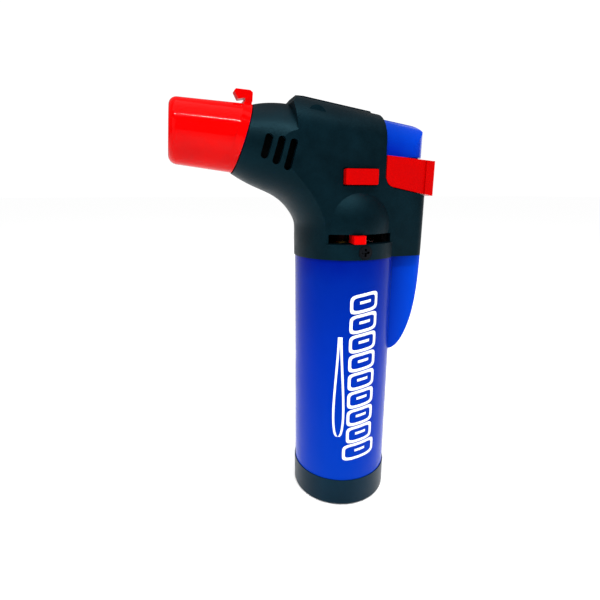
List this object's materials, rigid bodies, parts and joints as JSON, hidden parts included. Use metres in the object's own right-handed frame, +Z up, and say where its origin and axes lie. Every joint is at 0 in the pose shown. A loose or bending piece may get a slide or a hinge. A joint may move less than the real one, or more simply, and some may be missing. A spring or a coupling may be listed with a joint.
{
  "type": "lampwork torch",
  "caption": "Gun-style gas torch with a translucent blue tank handle, dark housing, capped burner nozzle, thumb trigger, flame lock, adjuster and removable safety clip.",
  "frame": {"origin": "centre of the foot's underside, on the tank's axis", "axes": "+Z up along the tank's axis, -X the way the burner points, +X the trigger's side, -Y the left side with the adjuster and the collar screw"},
  "size_m": [0.0819, 0.0361, 0.1412],
  "materials": {
    "housing_plastic": "fine spark-textured moulded ABS, near-black with a cold green tone",
    "tank_plastic": "translucent blue moulded plastic, smooth",
    "red_plastic": "glossy red moulded plastic",
    "blue_metal": "glossy blue lacquered metal sleeve",
    "brass": "turned brass",
    "screw_steel": "black oxide steel",
    "spring_steel": "bright spring steel",
    "burner_steel": "drawn stainless steel",
    "seal_rubber": "black rubber",
    "clear_tube": "natural polyethylene",
    "inner_plastic": "dark moulded nylon",
    "ceramic": "unglazed steatite ceramic",
    "lead_sheath": "soft PVC sheath"
  },
  "bodies": {
    "root": {"housing_left": "housing_plastic", "housing_right": "housing_plastic", "housing_screws": "screw_steel", "collar_screw": "screw_steel", "tank": "tank_plastic", "tank_lid": "tank_plastic", "base_foot": "housing_plastic", "filler_body": "brass", "filler_spring": "spring_steel", "filler_seal": "seal_rubber", "pickup_tube": "clear_tube", "valve_body": "brass", "valve_spring": "spring_steel", "valve_seal": "seal_rubber", "lever_pin": "spring_steel", "gas_hose": "seal_rubber", "gas_jet": "brass", "burner_tube": "burner_steel", "flame_holder": "brass", "nozzle_sleeve": "blue_metal", "sleeve_spacer": "ceramic", "insulator": "ceramic", "electrode": "spring_steel", "ignition_lead": "lead_sheath", "piezo_body": "inner_plastic", "trigger_spring": "spring_steel"},
    "cap": {"nozzle_cap": "red_plastic"},
    "clip": {"safety_clip": "red_plastic"},
    "trigger": {"trigger": "tank_plastic", "piezo_plunger": "inner_plastic"},
    "lever": {"valve_lever": "inner_plastic"},
    "stem": {"valve_stem": "brass"},
    "lock": {"flame_lock": "red_plastic"},
    "adjuster": {"flame_adjuster": "red_plastic"},
    "filler": {"filler_stem": "brass"}
  },
  "joints": [
    {"name": "cap_slide", "type": "slide", "parent": "root", "child": "cap", "axis": [-0.9963, 0, 0.0854], "range_m": [0, 0.03]},
    {"name": "clip_slide", "type": "slide", "parent": "root", "child": "clip", "axis": [1, 0, 0], "range_m": [0, 0.03]},
    {"name": "trigger_press", "type": "slide", "parent": "root", "child": "trigger", "axis": [0, 0, -1], "range_m": [0, 0.0035], "stiffness_N_per_m": 2500, "springref_m": -0.002, "deforming": ["trigger_spring"]},
    {"name": "lever_turn", "type": "hinge", "parent": "root", "child": "lever", "pos_m": [0.0046, 0, 0.10425], "axis": [0, 1, 0], "range_deg": [0, 31]},
    {"name": "stem_lift", "type": "slide", "parent": "root", "child": "stem", "axis": [0, 0, 1], "range_m": [0, 0.0024], "deforming": ["valve_spring"]},
    {"name": "lock_push", "type": "slide", "parent": "root", "child": "lock", "axis": [0, 1, 0], "range_m": [0, 0.0022]},
    {"name": "adjuster_turn", "type": "hinge", "parent": "root", "child": "adjuster", "pos_m": [0, 0, 0.0974], "axis": [0, 0, 1], "range_deg": [-21, 35]},
    {"name": "filler_lift", "type": "slide", "parent": "root", "child": "filler", "axis": [0, 0, 1], "range_m": [0, 0.0015], "stiffness_N_per_m": 600, "springref_m": -0.001, "deforming": ["filler_spring"]}
  ],
  "couplings": [
    {"joint": "lever_turn", "follows": "trigger_press", "rad_per_m": 152},
    {"joint": "stem_lift", "follows": "trigger_press", "ratio": 0.5857}
  ]
}
